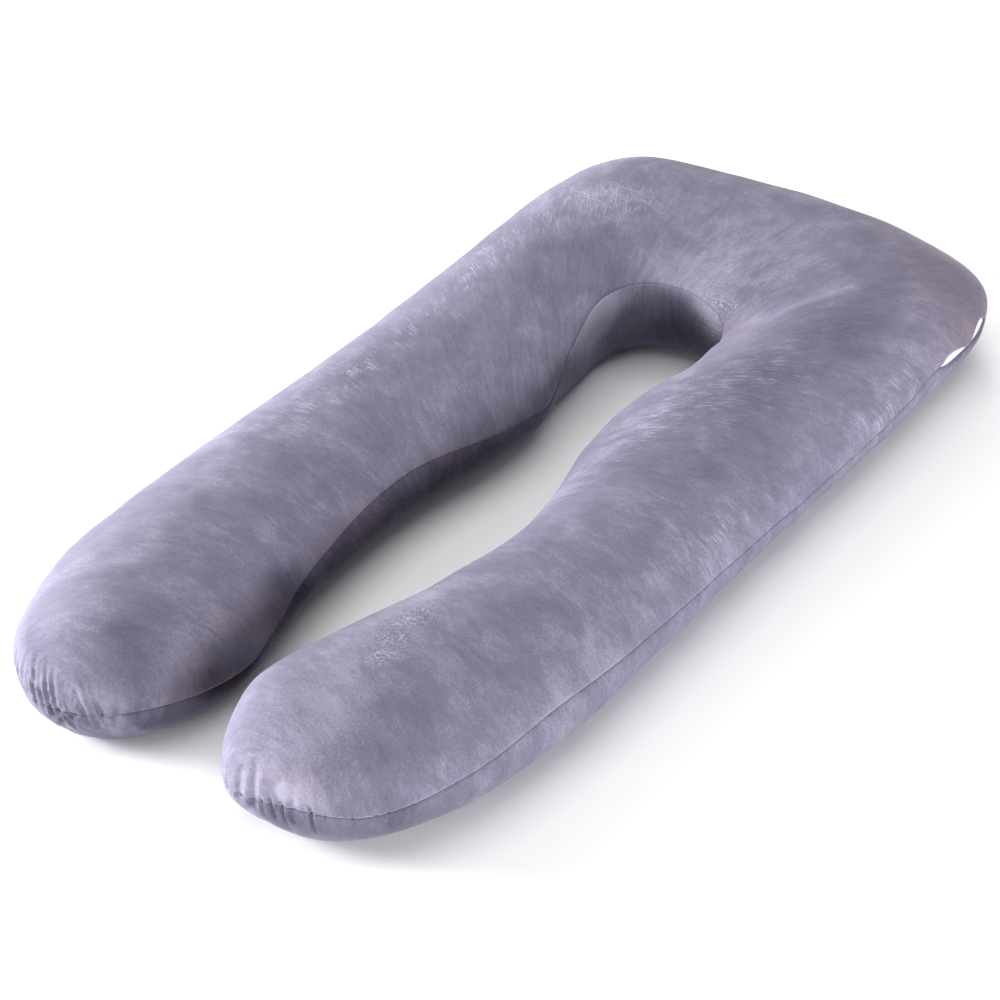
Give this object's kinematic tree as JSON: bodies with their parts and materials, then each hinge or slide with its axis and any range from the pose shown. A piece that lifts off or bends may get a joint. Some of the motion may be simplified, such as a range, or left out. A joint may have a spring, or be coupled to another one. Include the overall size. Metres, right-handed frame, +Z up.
{
  "type": "U-shaped full-body pillow",
  "caption": "U-shaped full-body pillow of grey lavender velvet, with two long stuffed legs that almost meet at their feet, a closed head and one level seam.",
  "frame": {"origin": "on the surface it lies on, below the middle of the bounding box", "axes": "+Z up, +Y from the feet to the closed head, +X to the right leg"},
  "size_m": [0.6974, 1.4566, 0.1803],
  "materials": {
    "velvet": "short-pile polyester velvet, grey lavender, matt with a pale sheen where the nap is brushed",
    "white_cotton": "plain woven white cotton, matt"
  },
  "bodies": {
    "root": {"velvet_pillow": "velvet", "inner_casing": "white_cotton"}
  },
  "joints": []
}
